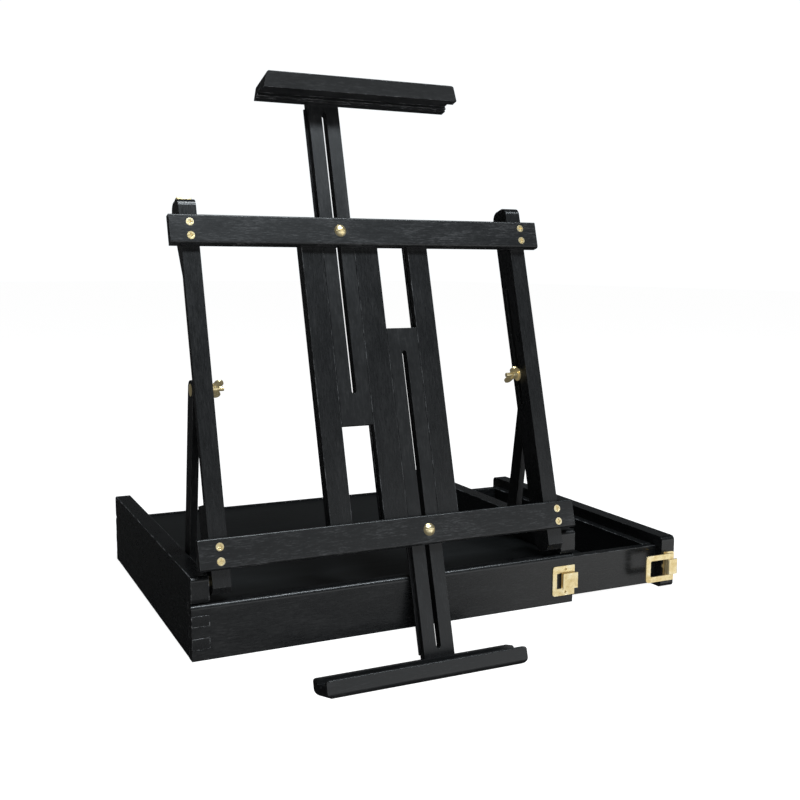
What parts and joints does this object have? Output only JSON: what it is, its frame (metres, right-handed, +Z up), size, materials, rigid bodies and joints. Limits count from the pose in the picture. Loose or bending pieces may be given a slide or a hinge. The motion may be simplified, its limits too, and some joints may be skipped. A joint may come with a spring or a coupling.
{
  "type": "tabletop easel",
  "caption": "Tabletop sketch-box easel: low black wooden box with a side drawer, folding frame, sliding masts with canvas holder and tray, brass hardware.",
  "frame": {"origin": "centre of the box's underside, on the surface that the box stands on", "axes": "+X to the side the drawer opens to, +Y to the back, away from the artist, +Z up"},
  "size_m": [0.53, 0.4308, 0.5621],
  "materials": {
    "black_wood": "satin black stain over open grain",
    "black_panel": "smooth satin black panel",
    "brass": "bright plated brass"
  },
  "bodies": {
    "box": {"left_wall": "black_wood", "right_rail": "black_wood", "front_wall": "black_wood", "back_wall": "black_wood", "deck": "black_panel", "bottom_panel": "black_panel", "frame_pivot_bolts": "brass", "strut_pivot_bolts": "brass", "pivot_washers": "brass", "front_catch_plate": "brass", "back_catch_plate": "brass", "catch_plate_screws": "brass"},
    "drawer": {"drawer_face": "black_wood", "drawer_front_side": "black_wood", "drawer_back_side": "black_wood", "drawer_inner_end": "black_wood", "drawer_outer_end": "black_wood", "drawer_floor": "black_panel", "front_latch_base": "brass", "back_latch_base": "brass", "latch_base_screws": "brass"},
    "front_lever": {"front_latch_lever": "brass"},
    "back_lever": {"back_latch_lever": "brass"},
    "front_ring": {"front_latch_ring": "brass"},
    "back_ring": {"back_latch_ring": "brass"},
    "frame": {"left_post": "black_wood", "right_post": "black_wood", "post_top_plate": "brass", "upper_crossbar": "black_wood", "lower_crossbar": "black_wood", "left_batten": "black_wood", "middle_batten": "black_wood", "right_batten": "black_wood", "crossbar_screws": "brass", "upper_clamp_bolt": "brass", "lower_clamp_bolt": "brass", "clamp_washers": "brass"},
    "upper_clamp_nut": {"upper_wing_nut": "brass"},
    "lower_clamp_nut": {"lower_wing_nut": "brass"},
    "upper_mast": {"upper_mast": "black_wood", "canvas_holder": "black_wood", "holder_screws": "brass"},
    "lower_mast": {"lower_mast": "black_wood", "canvas_tray": "black_wood", "tray_screws": "brass"},
    "left_strut": {"left_strut": "black_wood", "left_strut_bolt_head": "brass"},
    "right_strut": {"right_strut": "black_wood", "right_strut_bolt_head": "brass"},
    "left_stud": {"left_stud": "brass"},
    "right_stud": {"right_stud": "brass"},
    "left_strut_nut": {"left_wing_nut": "brass"},
    "right_strut_nut": {"right_wing_nut": "brass"}
  },
  "joints": [
    {"name": "drawer_slide", "type": "slide", "parent": "box", "child": "drawer", "axis": [1, 0, 0], "range_m": [-0.113, 0.15]},
    {"name": "frame_tilt", "type": "hinge", "parent": "box", "child": "frame", "pos_m": [0, -0.1697, 0.0676], "axis": [1, 0, 0], "range_deg": [-74.1, 0]},
    {"name": "left_strut_swing", "type": "hinge", "parent": "box", "child": "left_strut", "pos_m": [-0.18, -0.0915, 0.0639], "axis": [1, 0, 0], "range_deg": [-99.28, 0]},
    {"name": "right_strut_swing", "type": "hinge", "parent": "box", "child": "right_strut", "pos_m": [0.18, -0.0915, 0.0639], "axis": [1, 0, 0], "range_deg": [-99.28, 0]},
    {"name": "left_stud_slide", "type": "slide", "parent": "frame", "child": "left_stud", "axis": [0, 0.2736, 0.9618], "range_m": [0, 0.0767]},
    {"name": "right_stud_slide", "type": "slide", "parent": "frame", "child": "right_stud", "axis": [0, 0.2736, 0.9618], "range_m": [0, 0.0767]},
    {"name": "left_strut_nut_turn", "type": "hinge", "parent": "left_stud", "child": "left_strut_nut", "pos_m": [-0.16, -0.11898, 0.23237], "axis": [1, 0, 0], "continuous": true},
    {"name": "right_strut_nut_turn", "type": "hinge", "parent": "right_stud", "child": "right_strut_nut", "pos_m": [0.16, -0.11898, 0.23237], "axis": [1, 0, 0], "continuous": true},
    {"name": "upper_mast_slide", "type": "slide", "parent": "frame", "child": "upper_mast", "axis": [0, 0.2736, 0.9618], "range_m": [-0.116, 0.152]},
    {"name": "lower_mast_slide", "type": "slide", "parent": "frame", "child": "lower_mast", "axis": [0, 0.2736, 0.9618], "range_m": [-0.17, 0.103]},
    {"name": "upper_clamp_turn", "type": "hinge", "parent": "frame", "child": "upper_clamp_nut", "pos_m": [-0.02875, -0.08435, 0.37238], "axis": [0, 0.9618, -0.2736], "continuous": true},
    {"name": "lower_clamp_turn", "type": "hinge", "parent": "frame", "child": "lower_clamp_nut", "pos_m": [0.02875, -0.16457, 0.09037], "axis": [0, 0.9618, -0.2736], "continuous": true},
    {"name": "front_lever_turn", "type": "hinge", "parent": "drawer", "child": "front_lever", "pos_m": [0.3168, -0.1823, 0.024], "axis": [0, 0, -1], "range_deg": [0, 95]},
    {"name": "back_lever_turn", "type": "hinge", "parent": "drawer", "child": "back_lever", "pos_m": [0.3168, 0.1823, 0.024], "axis": [0, 0, 1], "range_deg": [0, 95]},
    {"name": "front_ring_turn", "type": "hinge", "parent": "front_lever", "child": "front_ring", "pos_m": [0.3218, -0.1852, 0.024], "axis": [0, 0, 1], "range_deg": [0, 95.1]},
    {"name": "back_ring_turn", "type": "hinge", "parent": "back_lever", "child": "back_ring", "pos_m": [0.3218, 0.1852, 0.024], "axis": [0, 0, -1], "range_deg": [0, 95.1]}
  ],
  "couplings": [
    {"joint": "left_strut_swing", "follows": "frame_tilt", "ratio": 1.3392},
    {"joint": "right_strut_swing", "follows": "frame_tilt", "ratio": 1.3392},
    {"joint": "left_stud_slide", "follows": "frame_tilt", "m_per_rad": -0.059178},
    {"joint": "right_stud_slide", "follows": "frame_tilt", "m_per_rad": -0.059178},
    {"joint": "front_ring_turn", "follows": "front_lever_turn", "ratio": 1},
    {"joint": "back_ring_turn", "follows": "back_lever_turn", "ratio": 1}
  ]
}
